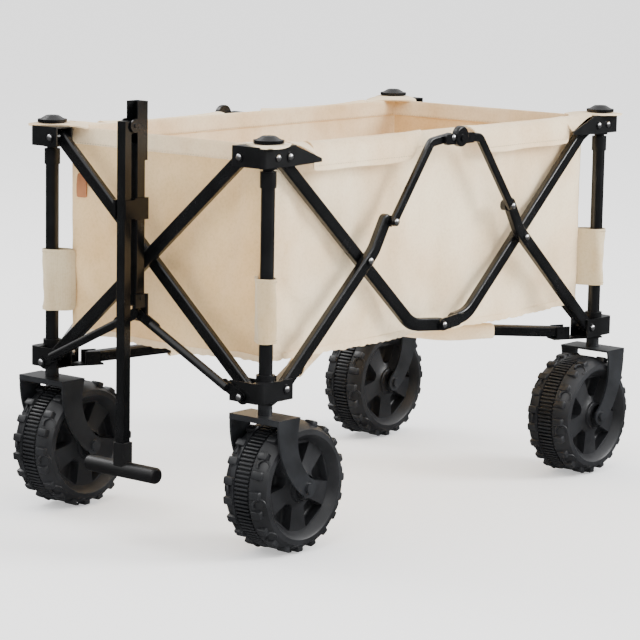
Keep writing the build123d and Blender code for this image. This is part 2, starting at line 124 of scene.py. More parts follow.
class CartWheels(bpy.types.PropertyGroup):
    """Sizes and colours of the beach wheels."""

    lugs: bpy.props.IntProperty(
        name="Shoulder lugs", description="Lugs round each shoulder", default=20, min=8, max=40
    )
    ribs: bpy.props.IntProperty(
        name="Centre ribs", description="Fine ribs round the middle band", default=96, min=24, max=160
    )
    windows: bpy.props.IntProperty(
        name="Windows", description="Openings between the spokes", default=5, min=3, max=9
    )
    colour: tint("Wheel colour", "Colour of the moulded plastic", (0.013, 0.0135, 0.015))


class CartMetal(bpy.types.PropertyGroup):
    """Colours of the metal."""

    steel: tint("Tube colour", "Powder coat on the tubes", (0.0030, 0.0032, 0.0036))
    rivet: tint("Rivet colour", "Bright plated rivets", (0.62, 0.62, 0.63))


# ---------------------------------------------------------------- tools


def clear():
    if bpy.context.object and bpy.context.object.mode != "OBJECT":
        bpy.ops.object.mode_set(mode="OBJECT")
    bpy.ops.object.select_all(action="DESELECT")


def pick(obj):
    """Makes one piece the only one selected, and the active one."""
    clear()
    obj.select_set(True)
    bpy.context.view_layer.objects.active = obj


def named(name):
    obj = bpy.context.object
    obj.name = name
    obj.data.name = name
    return obj


def settle(obj):
    """Applies the place of a piece so that it sits at the origin."""
    pick(obj)
    bpy.ops.object.transform_apply(location=True, rotation=True, scale=True)
    return obj


def modify(obj, kind, **settings):
    pick(obj)
    mod = obj.modifiers.new(kind.lower(), kind)
    for key, value in settings.items():
        setattr(mod, key, value)
    bpy.ops.object.modifier_apply(modifier=mod.name)
    return obj


def join(objs, name):
    clear()
    for o in objs:
        o.select_set(True)
    bpy.context.view_layer.objects.active = objs[0]
    if len(objs) > 1:
        bpy.ops.object.join()
    return named(name)


def copy_piece(obj, name):
    new = obj.copy()
    new.data = obj.data.copy()
    new.name = name
    new.data.name = name
    bpy.context.collection.objects.link(new)
    return new


def outward(obj):
    pick(obj)
    bpy.ops.object.mode_set(mode="EDIT")
    bpy.ops.mesh.select_all(action="SELECT")
    bpy.ops.mesh.remove_doubles(threshold=0.00001)
    bpy.ops.mesh.normals_make_consistent(inside=False)
    bpy.ops.object.mode_set(mode="OBJECT")


def cut_away(place_on_plane, normal):
    """Cuts the active piece at a plane, drops the part on the normal's side and closes the cut."""
    bpy.ops.object.mode_set(mode="EDIT")
    bpy.ops.mesh.select_all(action="SELECT")
    bpy.ops.mesh.bisect(plane_co=place_on_plane, plane_no=normal, use_fill=True, clear_outer=True)
    bpy.ops.object.mode_set(mode="OBJECT")


def raw_piece(name, verts, faces):
    """A new piece from its points and faces."""
    mesh = bpy.data.meshes.new(name)
    mesh.from_pydata([tuple(v) for v in verts], [], faces)
    obj = bpy.data.objects.new(name, mesh)
    bpy.context.collection.objects.link(obj)
    return obj


def smooth(obj, angle=35):
    pick(obj)
    bpy.ops.object.shade_smooth_by_angle(angle=math.radians(angle))


def noise(x, y, z, seed=0):
    return perlin.noise(Vector((x + 17.3 * seed, y - 9.1 * seed, z + 4.7 * seed)))


# ---------------------------------------------------------------- finishes


def new_finish(name):
    mat = bpy.data.materials.new(name)
    mat.use_nodes = True
    tree = mat.node_tree
    shader = tree.nodes["Principled BSDF"]
    coords = tree.nodes.new("ShaderNodeTexCoord")
    return mat, tree, shader, coords


def add_noise(tree, coords, scale, detail=4.0, rough=0.55):
    node = tree.nodes.new("ShaderNodeTexNoise")
    node.inputs["Scale"].default_value = scale
    node.inputs["Detail"].default_value = detail
    node.inputs["Roughness"].default_value = rough
    tree.links.new(coords.outputs["Object"], node.inputs["Vector"])
    return node


def add_ramp(tree, source, low, high, a=0.35, b=0.65):
    ramp = tree.nodes.new("ShaderNodeValToRGB")
    ramp.color_ramp.elements[0].position = a
    ramp.color_ramp.elements[1].position = b
    ramp.color_ramp.elements[0].color = (*low, 1)
    ramp.color_ramp.elements[1].color = (*high, 1)
    tree.links.new(source, ramp.inputs["Fac"])
    return ramp


def add_bump(tree, shader, height, strength, distance, after=None):
    bump = tree.nodes.new("ShaderNodeBump")
    bump.inputs["Strength"].default_value = strength
    bump.inputs["Distance"].default_value = distance
    tree.links.new(height, bump.inputs["Height"])
    if after:
        tree.links.new(after.outputs["Normal"], bump.inputs["Normal"])
    tree.links.new(bump.outputs["Normal"], shader.inputs["Normal"])
    return bump


def shade(colour, k):
    return tuple(min(1.0, c * k) for c in colour)


# Multiplies a colour channel by channel; used only for the painted-shade copies of the canvas.
def painted_shade_colour(colour, shade_factors):
    return tuple(c * k for c, k in zip(colour, shade_factors))


def coated_steel(name, colour, rough=(0.20, 0.32)):
    """Satin powder coat: fine orange peel, faint dust and slightly uneven gloss."""
    mat, tree, shader, coords = new_finish(name)
    wide = add_noise(tree, coords, 22, 5)
    ramp = add_ramp(tree, wide.outputs["Fac"], shade(colour, 0.75), shade(colour, 1.5))
    tree.links.new(ramp.outputs["Color"], shader.inputs["Base Color"])
    peel = add_noise(tree, coords, 900, 2)
    add_bump(tree, shader, peel.outputs["Fac"], 0.12, 0.0004)
    gloss = tree.nodes.new("ShaderNodeMapRange")
    gloss.inputs["To Min"].default_value, gloss.inputs["To Max"].default_value = rough
    tree.links.new(wide.outputs["Fac"], gloss.inputs["Value"])
    tree.links.new(gloss.outputs["Result"], shader.inputs["Roughness"])
    shader.inputs["Metallic"].default_value = 0.0
    shader.inputs["Specular IOR Level"].default_value = 0.5
    return mat


def moulded_plastic(name, colour, rough=0.5, grain=700):
    """Matt moulded plastic with a fine grained skin and pale scuffs scattered at random."""
    mat, tree, shader, coords = new_finish(name)
    wide = add_noise(tree, coords, 14, 6)
    ramp = add_ramp(tree, wide.outputs["Fac"], shade(colour, 0.8), shade(colour, 1.55))
    tree.links.new(ramp.outputs["Color"], shader.inputs["Base Color"])
    skin = add_noise(tree, coords, grain, 3)
    add_bump(tree, shader, skin.outputs["Fac"], 0.22, 0.0004)
    gloss = tree.nodes.new("ShaderNodeMapRange")
    gloss.inputs["To Min"].default_value, gloss.inputs["To Max"].default_value = rough - 0.08, rough + 0.1
    tree.links.new(wide.outputs["Fac"], gloss.inputs["Value"])
    tree.links.new(gloss.outputs["Result"], shader.inputs["Roughness"])
    shader.inputs["Specular IOR Level"].default_value = 0.34
    return mat


def plain_paint(name, colour, glow):
    """Even matt paint, lit a little from below like a light table."""
    mat, _, shader, _ = new_finish(name)
    shader.inputs["Emission Color"].default_value = (*colour, 1)
    shader.inputs["Emission Strength"].default_value = glow
    shader.inputs["Base Color"].default_value = (*colour, 1)
    shader.inputs["Roughness"].default_value = 0.9
    shader.inputs["Specular IOR Level"].default_value = 0.1
    return mat


def plated_metal(name, colour):
    mat, tree, shader, coords = new_finish(name)
    fine = add_noise(tree, coords, 600, 3)
    ramp = add_ramp(tree, fine.outputs["Fac"], shade(colour, 0.8), shade(colour, 1.1))
    tree.links.new(ramp.outputs["Color"], shader.inputs["Base Color"])
    add_bump(tree, shader, fine.outputs["Fac"], 0.1, 0.0002)
    shader.inputs["Metallic"].default_value = 1.0
    shader.inputs["Roughness"].default_value = 0.28
    return mat


def cotton_canvas(name, colour):
    """Plain-weave cotton: crossing yarns, slubs, soft creases and a slightly uneven undyed colour."""
    mat, tree, shader, coords = new_finish(name)
    cloud = add_noise(tree, coords, 7.5, 4, 0.5)
    tan = tuple(c * k for c, k in zip(colour, (0.88, 0.78, 0.66)))
    tone = add_ramp(tree, cloud.outputs["Fac"], tan, shade(colour, 1.04), 0.30, 0.60)
    slub = add_noise(tree, coords, 260, 3, 0.6)
    fleck = add_ramp(tree, slub.outputs["Fac"], (0.90, 0.88, 0.84), (1.0, 1.0, 1.0), 0.32, 0.55)
    mix = tree.nodes.new("ShaderNodeMix")
    mix.data_type = "RGBA"
    mix.blend_type = "MULTIPLY"
    mix.inputs["Factor"].default_value = 0.8
    tree.links.new(tone.outputs["Color"], mix.inputs["A"])
    tree.links.new(fleck.outputs["Color"], mix.inputs["B"])
    tree.links.new(mix.outputs["Result"], shader.inputs["Base Color"])
    total = None
    for axis in ("X", "Y", "Z"):
        wave = tree.nodes.new("ShaderNodeTexWave")
        wave.wave_type = "BANDS"
        wave.bands_direction = axis
        wave.inputs["Scale"].default_value = 190
        wave.inputs["Distortion"].default_value = 0.6
        wave.inputs["Detail"].default_value = 1.0
        tree.links.new(coords.outputs["Object"], wave.inputs["Vector"])
        if total is None:
            total = wave.outputs["Fac"]
        else:
            add = tree.nodes.new("ShaderNodeMath")
            add.operation = "ADD"
            tree.links.new(total, add.inputs[0])
            tree.links.new(wave.outputs["Fac"], add.inputs[1])
            total = add.outputs["Value"]
    weave = add_bump(tree, shader, total, 0.35, 0.0003)
    crease = add_noise(tree, coords, 16, 3, 0.5)
    small = add_bump(tree, shader, crease.outputs["Fac"], 0.30, 0.008, weave)
    fold = add_noise(tree, coords, 5.5, 2, 0.4)
    fold.inputs["Distortion"].default_value = 1.6
    add_bump(tree, shader, fold.outputs["Fac"], 0.45, 0.03, small)
    shader.inputs["Roughness"].default_value = 0.93
    shader.inputs["Specular IOR Level"].default_value = 0.2
    shader.inputs["Sheen Weight"].default_value = 0.25
    shader.inputs["Sheen Roughness"].default_value = 0.5
    return mat


FINISH = {}
# Painted shade: the front and rear walls and the post cuffs are the same cotton as the long walls. These
# factors make darker, warmer (end walls) and darker, greyer (cuffs) copies of its colour that paint in the
# shade falling on them.
END_PAINTED_SHADE, CUFF_PAINTED_SHADE = (0.92, 0.80, 0.62), (0.68, 0.69, 0.66)


def finish(name):
    if name not in FINISH:
        scene = bpy.context.scene
        canvas, wheels, metal = scene.cart_canvas, scene.cart_wheels, scene.cart_metal
        made = {
            "canvas": lambda: cotton_canvas("canvas", tuple(canvas.colour)),
            "thread": lambda: moulded_plastic("thread", shade(tuple(canvas.colour), 0.5), 0.8),
            "steel": lambda: coated_steel("steel", tuple(metal.steel)),
            "bracket": lambda: coated_steel("bracket", shade(tuple(metal.steel), 1.15), (0.24, 0.36)),
            "fork": lambda: coated_steel("fork", shade(tuple(metal.steel), 4.5), (0.24, 0.36)),
            # Painted shade: the end walls' canvas, darkened and warmed.
            "canvas_end_painted_shade": lambda: cotton_canvas("canvas_end_painted_shade", painted_shade_colour(canvas.colour, END_PAINTED_SHADE)),
            # Painted shade: the post cuffs' canvas, darkened and greyed.
            "canvas_cuff_painted_shade": lambda: cotton_canvas("canvas_cuff_painted_shade", painted_shade_colour(canvas.colour, CUFF_PAINTED_SHADE)),
            "rivet": lambda: plated_metal("rivet", tuple(metal.rivet)),
            "plastic": lambda: moulded_plastic("plastic", (0.0035, 0.0035, 0.004), 0.26, 900),
            "wheel": lambda: moulded_plastic("wheel", tuple(wheels.colour), 0.38),
            "tread": lambda: moulded_plastic("tread", shade(tuple(wheels.colour), 1.2), 0.6, 400),
            "grip": lambda: moulded_plastic("grip", (0.005, 0.005, 0.0055), 0.42, 500),
            "leather": lambda: moulded_plastic("leather", (0.30, 0.12, 0.05), 0.6, 350),
            "floor": lambda: plain_paint("floor_paint", (0.93, 0.93, 0.93), 0.55),
        }
        FINISH[name] = made[name]()
    return FINISH[name]


def dress(obj, name):
    obj.data.materials.clear()
    obj.data.materials.append(finish(name))
    return obj


# ---------------------------------------------------------------- frame finishes


class CART_OT_frame_finishes(bpy.types.Operator):
    """Give every carried-over steel and plastic piece its finish"""

    bl_idname = "cart.frame_finishes"
    bl_label = "Frame finishes"

    def execute(self, context):
        for name, obj in NODES.items():
            if name.startswith(("bag_", "wheel_")):
                continue
            kind = "steel"
            if name.startswith(("cap_", "hub_")) or name == "handle_clip":
                kind = "plastic"
            elif name == "handle_grip":
                kind = "grip"
            elif name.startswith("fork_"):
                kind = "fork"
            elif name.startswith("corner_") or name == "handle_bracket":
                kind = "bracket"
            if not obj.material_slots:
                pick(obj)
                bpy.ops.object.material_slot_add()
            for s in obj.material_slots:
                s.link = "OBJECT"
                s.material = finish(kind)
        return {"FINISHED"}


# ---------------------------------------------------------------- wheels


def ring_box(r, y, size_r, size_y, size_t, turn, bevel=0.0012):
    """A small rounded block on a wheel, at a radius and an angle round the axle."""
    bpy.ops.mesh.primitive_cube_add(size=1, location=(0, 0, 0))
    obj = bpy.context.object
    obj.scale = (size_t, size_y, size_r)
    settle(obj)
    modify(obj, "BEVEL", width=bevel, segments=2)
    obj.location = (0, y, r)
    settle(obj)
    obj.rotation_euler = (0, turn, 0)
    return settle(obj)


def wheel_shell(props):
    """The tyre and dished faces, spun about the axle from one outline."""
    half, r = WHEEL_W / 2, WHEEL_R - 0.0035
    hub = [(0.018, half), (0.018, half - 0.003), (0.022, half - 0.010), (0.032, half - 0.014)]
    rim = [(r - 0.027, half - 0.014), (r - 0.021, half - 0.004), (r - 0.017, half - 0.001)]
    shoulder = [(r - 0.010, half - 0.002), (r - 0.004, half - 0.010), (r - 0.0012, half - 0.019)]
    crown = [(r, half - 0.0250), (r - 0.004, half - 0.0262), (r - 0.004, 0.0)]
    outline = hub + rim + shoulder + crown
    full = outline + [(a, -b) for a, b in reversed(outline[:-1])]
    clear()
    bpy.ops.mesh.primitive_circle_add(vertices=len(full), radius=0.01)
    obj = named("wheel_shell")
    for v, (a, b) in zip(obj.data.vertices, full):
        v.co = (a, b, 0)
    settle(obj)
    bpy.ops.object.mode_set(mode="EDIT")
    bpy.ops.mesh.select_all(action="SELECT")
    bpy.ops.mesh.spin(steps=120, angle=math.tau, center=(0, 0, 0), axis=(0, 1, 0))
    bpy.ops.mesh.remove_doubles(threshold=0.00005)
    bpy.ops.object.mode_set(mode="OBJECT")
    outward(obj)
    return obj


def cut_windows(obj, props):
    """Cuts the windows between the spokes: tapered pockets from each face."""
    r = WHEEL_R
    half = math.pi / props.windows * 0.60
    for side in (-1, 1):
        for k in range(props.windows):
            clear()
            bpy.ops.mesh.primitive_cylinder_add(vertices=4, radius=0.01, depth=WHEEL_W / 2 - 0.010)
            tool = bpy.context.object
            inner, outer = 0.0295, r - 0.0300
            ring = [(inner, -half * 0.62), (outer, -half), (outer, half), (inner, half * 0.62)]
            top = [v for v in tool.data.vertices if v.co.z > 0]
            low = [v for v in tool.data.vertices if v.co.z < 0]
            for group, shrink in ((top, 1.0), (low, 0.9)):
                group.sort(key=lambda v: math.atan2(v.co.y, v.co.x))
                for v, (rad, ang) in zip(group, ring):
                    v.co.x = rad * math.cos(ang * shrink) + (0.002 if shrink < 1 and rad == inner else 0)
                    v.co.y = rad * math.sin(ang * shrink)
            modify(tool, "BEVEL", width=0.004, segments=3, limit_method="ANGLE")
            tool.location = (0, 0, WHEEL_W / 4 + 0.004)
            settle(tool)
            tool.rotation_euler = (0, 0, math.tau * k / props.windows + 0.31)
            settle(tool)
            tool.rotation_euler = (math.radians(-90 * side), 0, 0)
            settle(tool)
            outward(tool)
            modify(obj, "BOOLEAN", operation="DIFFERENCE", object=tool, solver="EXACT")
            bpy.data.objects.remove(tool)


def arch_lug(turn, y, side):
    """A raised C-shaped lug on the shoulder of the tyre."""
    clear()
    bpy.ops.mesh.primitive_torus_add(
        major_radius=0.0088, minor_radius=0.0019, major_segments=18, minor_segments=6
    )
    obj = bpy.context.object
    cut_away((-0.004, 0, 0), (-1, 0, 0))
    obj.rotation_euler = (math.radians(-38 * side), 0, 0)
    settle(obj)
    obj.location = (0, y, WHEEL_R - 0.0075)
    settle(obj)
    obj.rotation_euler = (0, turn, 0)
    return settle(obj)


def build_wheel(props):
    """One wheel about the origin, axle along Y."""
    half, r = WHEEL_W / 2, WHEEL_R
    shell = wheel_shell(props)
    cut_windows(shell, props)
    rib = ring_box(r - 0.0055, 0, 0.0050, 0.0235, 0.0030, 0, 0.0006)
    parts = [shell, rib]
    for k in range(1, props.ribs):
        new = copy_piece(rib, "rib")
        new.rotation_euler = (0, math.tau * k / props.ribs, 0)
        parts.append(settle(new))
    lug_wide = None
    for side in (-1, 1):
        for k in range(props.lugs):
            turn = math.tau * (k + (0.5 if side > 0 else 0)) / props.lugs
            if lug_wide is None:
                lug_wide = ring_box(r - 0.0080, half - 0.0155, 0.0130, 0.0165, 0.0115, 0, 0.0022)
                parts.append(lug_wide)
                continue
            new = copy_piece(lug_wide, "lug")
            if side < 0:
                new.location = (0, -2 * (half - 0.0155), 0)
                settle(new)
            new.rotation_euler = (0, turn, 0)
            parts.append(settle(new))
            if k % 2 == 0:
                parts.append(arch_lug(turn + math.pi / props.lugs, side * (half - 0.0105), side))
    for side in (-1, 1):
        clear()
        bpy.ops.mesh.primitive_cylinder_add(
            vertices=48,
            radius=0.0215,
            depth=0.012,
            location=(0, side * (half - 0.012), 0),
            rotation=(math.radians(90), 0, 0),
        )
        cup = bpy.context.object
        settle(cup)
        modify(cup, "BEVEL", width=0.0015, segments=2, limit_method="ANGLE")
        parts.append(cup)
    wheel = join(parts, "wheel_model")
    smooth(wheel, 32)
    return wheel


class CART_OT_wheels(bpy.types.Operator):
    """Model one moulded beach wheel with ribs, lugs and windows, and copy it to each axle"""

    bl_idname = "cart.wheels"
    bl_label = "Beach wheels"

    def execute(self, context):
        model = build_wheel(context.scene.cart_wheels)
        for c in CORNERS:
            piece = copy_piece(model, "beach_wheel_" + c)
            piece.location = WHEEL[c]
            settle(piece)
            dress(piece, "wheel")
            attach(piece, "wheel_" + c)
            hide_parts("wheel_" + c)
        bpy.data.objects.remove(model)
        return {"FINISHED"}


# ---------------------------------------------------------------- canvas bag

KEEP_X, KEEP_Y = 0.315, 0.245
HALF_X, HALF_Y = (FLOOR_HIGH.x - FLOOR_LOW.x) / 2, (FLOOR_HIGH.y - FLOOR_LOW.y) / 2
LOW, HIGH = FLOOR_LOW.z, BAG_HIGH.z
REACH_X, REACH_Y, REACH_Z = HALF_X + 0.010, HALF_Y + 0.0028, LOW - 0.007
CLOTH_FRAMES = 30
CLOTH_CELL = 0.0124
RIM_BAND = 0.026


def panel_of(face):
    """Which panel of the bag a face belongs to: 0 to 2 floor, 3 right, 4 left, 5 front, 6 rear."""
    c = face.center
    if abs(face.normal.z) > 0.7 and c.z < LOW + 0.002:
        if abs(c.x - CART_X) < HALF_X / 3:
            return 1
        return 0 if c.x < CART_X else 2
    if HALF_Y - abs(c.y) < 0.0015:
        return 3 if c.y < 0 else 4
    return 5 if c.x < CART_X else 6


def bag_cut(cell):
    """The cut of the bag stood up: a floor grid with its four walls raised from the rim."""
    clear()
    counts = [max(2, round(2 * half / cell)) for half in (HALF_X, HALF_Y)]
    bpy.ops.mesh.primitive_grid_add(x_subdivisions=counts[0], y_subdivisions=counts[1], size=1)
    bag = named("bag_shell")
    bag.scale = (2 * HALF_X, 2 * HALF_Y, 1)
    bag.location = (CART_X, 0, LOW)
    settle(bag)
    rows = round((HIGH - LOW) / cell)
    bpy.ops.object.mode_set(mode="EDIT")
    bpy.ops.mesh.select_mode(type="EDGE")
    bpy.ops.mesh.select_all(action="SELECT")
    bpy.ops.mesh.region_to_loop()
    for _ in range(rows):
        bpy.ops.mesh.extrude_edges_move(TRANSFORM_OT_translate={"value": (0, 0, (HIGH - LOW) / rows)})
    bpy.ops.object.mode_set(mode="OBJECT")
    outward(bag)
    return bag


def hold(co):
    """How firmly a point of the bag is held: at the hem, where tied to the posts, and over the struts."""
    rx, ry = abs(co.x - CART_X), abs(co.y)
    if co.z > HIGH - 0.004:
        return 1.0
    if co.z < LOW + 0.002:
        return 1.0 if min(HALF_X - rx, HALF_Y - ry) > 0.060 else 0.0
    corner = max(HALF_X - rx, 0) + max(HALF_Y - ry, 0)
    return 1.0 if corner < 0.006 and CUFF_LOW < co.z < CUFF_HIGH else 0.0


def pull(co):
    """Soft folds sewn into the cut before it hangs: fine puckers at the bottom seam, slack swags above."""
    k = max(0.0, min(1.0, (co.z - LOW) / (HIGH - LOW)))
    if k <= 0.0:
        return Vector((0, 0, noise(co.x * 10, co.y * 10, 0.3, 7) * 0.002))
    on_side = HALF_Y - abs(co.y) < 0.0015
    run = (co.x - CART_X) / HALF_X if on_side else co.y / HALF_Y
    flat = co.x if on_side else co.y
    fade = 1 - abs(run) ** 8
    swag = noise(flat * 7, k * 2.2, 1.0, 3 if on_side else 9) * 0.0055
    fold = noise(flat * 21 + k * 6, k * 2.5, 2.0, 5) * 0.0022
    pucker = noise(flat * 70, k * 4, 5.0, 11) * 0.0030 * max(0.0, 1 - k / 0.16)
    deep = (swag + fold - 0.0022) * math.sin(math.pi * k) ** 0.7 * fade + pucker * fade
    if on_side:
        return Vector((0, math.copysign(deep, co.y), 0))
    return Vector((math.copysign(deep, co.x - CART_X), 0, 0))


def hang(bag):
    """Hangs the cut in the frame a little slack, then keeps it inside the links."""
    held = bag.vertex_groups.new(name="held")
    for v in bag.data.vertices:
        if hold(v.co):
            held.add([v.index], 1.0, "REPLACE")
        else:
            v.co += pull(v.co)
    pick(bag)
    mod = bag.modifiers.new("canvas", "CLOTH")
    s = mod.settings
    s.quality = 7
    s.mass = 0.3
    s.tension_stiffness = s.compression_stiffness = 15
    s.shear_stiffness = 8
    s.bending_stiffness = 1.2
    s.tension_damping = s.compression_damping = s.shear_damping = 14
    s.air_damping = 3.0
    s.vertex_group_mass = "held"
    s.shrink_min = -0.009
    mod.collision_settings.use_collision = False
    mod.point_cache.frame_start, mod.point_cache.frame_end = 1, CLOTH_FRAMES
    for f in range(1, CLOTH_FRAMES + 1):
        bpy.context.scene.frame_set(f)
    bpy.ops.object.modifier_apply(modifier=mod.name)
    bpy.context.scene.frame_set(1)
    bag.vertex_groups.clear()
    for v in bag.data.vertices:
        v.co.y = max(-REACH_Y, min(REACH_Y, v.co.y))
        v.co.x = CART_X + max(-REACH_X, min(REACH_X, v.co.x - CART_X))
        v.co.z = max(REACH_Z, v.co.z)


def part_off(bag, keep, name):
    """A copy of the bag that holds only the faces keep() accepts."""
    new = copy_piece(bag, name)
    bm = bmesh.new()
    bm.from_mesh(new.data)
    bmesh.ops.delete(bm, geom=[f for f in bm.faces if not keep(f)], context="FACES")
    bm.to_mesh(new.data)
    bm.free()
    new.data.materials.clear()
    for f in new.data.polygons:
        f.material_index = 0
    return new


class CART_OT_bag(bpy.types.Operator):
    """Hang the canvas bag as one shell, then part it along its seams so that it folds with the frame"""

    bl_idname = "cart.bag"
    bl_label = "Canvas bag"

    def execute(self, context):
        bag = bag_cut(CLOTH_CELL)
        tags = [panel_of(f) for f in bag.data.polygons]
        for _ in range(7):
            bag.data.materials.append(finish("canvas"))
        for f, tag in zip(bag.data.polygons, tags):
            f.material_index = tag
        hang(bag)
        modify(bag, "SUBSURF", levels=1, render_levels=1)
        wall, end = (2 * HALF_X, HIGH - LOW), (2 * HALF_Y, HIGH - LOW)
        third = (2 * HALF_X / 3, 2 * HALF_Y)
        near_front, far_front = (CART_X - HALF_X, -HALF_Y, LOW), (CART_X - HALF_X, HALF_Y, LOW)
        near_rear = (CART_X + HALF_X, -HALF_Y, LOW)
        along, across = (1, 0, 0), (0, 1, 0)
        plan = (
            ("bag_floor_front", "top_fr", across, near_front, KEEP_Y, None, third),
            ("bag_floor_middle", "floor_hub", across, (CART_X, 0, LOW), KEEP_Y, "bag_floor", third),
            ("bag_floor_rear", "top_rr", across, near_rear, KEEP_Y, None, third),
            ("bag_wall_right", "top_fr", along, near_front, KEEP_X, "bag_right", wall),
            ("bag_wall_left", "top_fl", along, far_front, KEEP_X, "bag_left", wall),
            ("bag_wall_front", "top_fr", across, near_front, KEEP_Y, "bag_front", end),
            ("bag_wall_rear", "top_rr", across, near_rear, KEEP_Y, "bag_rear", end),
        )
        for tag, (name, body, axis, anchor, keep, node, flat) in enumerate(plan):
            is_wall = tag > 2
            piece = part_off(bag, lambda f: f.material_index == tag, name)
            modify(piece, "SOLIDIFY", thickness=context.scene.cart_canvas.thickness, offset=-1.0)
            smooth(piece, 60)
            end_wall = name in ("bag_wall_front", "bag_wall_rear")
            # The end walls take the painted-shade copy of the canvas.
            dress(piece, "canvas_end_painted_shade" if end_wall else "canvas")
            extras = []
            if is_wall:
                rim = HIGH - RIM_BAND
                hem = part_off(
                    bag, lambda f: f.material_index == tag and f.calc_center_median().z > rim, name + "_hem"
                )
                modify(hem, "SOLIDIFY", thickness=0.0042, offset=-0.62)
                modify(
                    hem, "BEVEL", width=0.0010, segments=2, limit_method="ANGLE", angle_limit=math.radians(50)
                )
                smooth(hem, 50)
                dress(hem, "canvas")
                thread = stitches(name + "_stitch", hem, tag, body)
                extras = [hem, thread]
            for one in (piece, *extras):
                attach(one, body)
                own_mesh(one)
            if node:
                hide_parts(node)
        bpy.data.objects.remove(bag)
        return {"FINISHED"}


def dash(verts, faces, a, b, out, r=0.00055):
    """Adds one stitch: a short pointed bar from a to b that stands a little out of the cloth."""
    side = (b - a).normalized().cross(out)
    base = len(verts)
    mid = (a + b) / 2 + out * r
    verts += [a, mid + side * r, mid + out * r, mid - side * r, b, mid - out * r]
    for p, q in ((1, 2), (2, 3), (3, 5), (5, 1)):
        faces += [(base, base + q, base + p), (base + 4, base + p, base + q)]


def thread_piece(name, verts, faces):
    obj = raw_piece(name, verts, faces)
    outward(obj)
    dress(obj, "thread")
    return obj


def sew(verts, faces, cloth, start, end, out, pitch=0.0052, reach=0.03):
    """Runs a row of stitches over a piece of cloth, each pressed to its outer face."""
    count = max(2, int((end - start).length / pitch))
    for k in range(count):
        a, b = (start.lerp(end, (k + d) / count) for d in (0.12, 0.80))
        hits = [cloth.ray_cast(p + out * reach, -out, distance=2 * reach) for p in (a, b)]
        if all(h[0] for h in hits):
            dash(verts, faces, hits[0][1] + out * 0.0001, hits[1][1] + out * 0.0001, out)


def stitches(name, hem, tag, body):
    """Two rows of stitching on a hem, one on each face of the wall."""
    verts, faces = [], []
    z = HIGH - 0.0225
    for turn in (1, -1):
        if tag < 5:
            sy = -1 if tag == 3 else 1
            ends = [Vector((CART_X + s * (HALF_X - 0.006), sy * HALF_Y, z)) for s in (-1, 1)]
            out = Vector((0, sy * turn, 0))
        else:
            sx = -1 if tag == 5 else 1
            ends = [Vector((CART_X + sx * HALF_X, s * (HALF_Y - 0.006), z)) for s in (-1, 1)]
            out = Vector((sx * turn, 0, 0))
        sew(verts, faces, hem, *ends, out)
    return thread_piece(name, verts, faces)


def cloth_strip(name, rows, body, thick=0.0022, levels=2):
    """A strip of cloth through rows of points, softened and given thickness."""
    n = len(rows[0])
    cells = [i * n + j for i in range(len(rows) - 1) for j in range(n - 1)]
    faces = [(k, k + 1, k + n + 1, k + n) for k in cells]
    obj = raw_piece(name, [p for row in rows for p in row], faces)
    modify(obj, "SUBSURF", levels=levels, render_levels=levels)
    modify(obj, "SOLIDIFY", thickness=thick, offset=0)
    outward(obj)
    smooth(obj, 60)
    dress(obj, "canvas")
    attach(obj, body)
    return obj


class CART_OT_tongues(bpy.types.Operator):
    """Model the canvas tongues that wrap over the corner brackets under the caps"""

    bl_idname = "cart.tongues"
    bl_label = "Corner tongues"

    def execute(self, context):
        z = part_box("cap_fr")[0].z - 0.0021
        for c, (sx, sy) in CORNERS.items():
            across = Vector((sx, -sy, 0)).normalized()
            inner = Vector((-sx * 0.038, -sy * 0.034, 0))
            tip = Vector((sx * 0.024, sy * 0.024, 0))
            rows = []
            for i in range(10):
                t = i / 9
                half = 0.036 * (1 - 0.42 * t) * (1 if t < 0.8 else math.cos((t - 0.8) / 0.2 * 1.3))
                row = []
                for j in range(7):
                    u = -1 + j / 3
                    p = POST[c] + inner.lerp(tip, t) + across * (u * half)
                    drop = 0.0012 * abs(u) ** 3
                    drop = drop + 0.0035 * max(0.0, (0.3 - t) / 0.3) ** 2 + 0.0016 * max(0.0, (t - 0.8) / 0.2)
                    p.z = z - drop + 0.0006 * noise(p.x * 60, p.y * 60, 1, 2)
                    row.append(p)
                rows.append(row)
            piece = cloth_strip("tongue_" + c, rows, "top_" + c)
        return {"FINISHED"}


HEM_ROLL = (
    (0.0, -0.0010),
    (0.0065, 0.0022),
    (0.0125, 0.0020),
    (0.0185, -0.0025),
    (0.0215, -0.012),
    (0.0222, -0.026),
    (0.0212, -0.040),
)
WING_TIP = 0.298


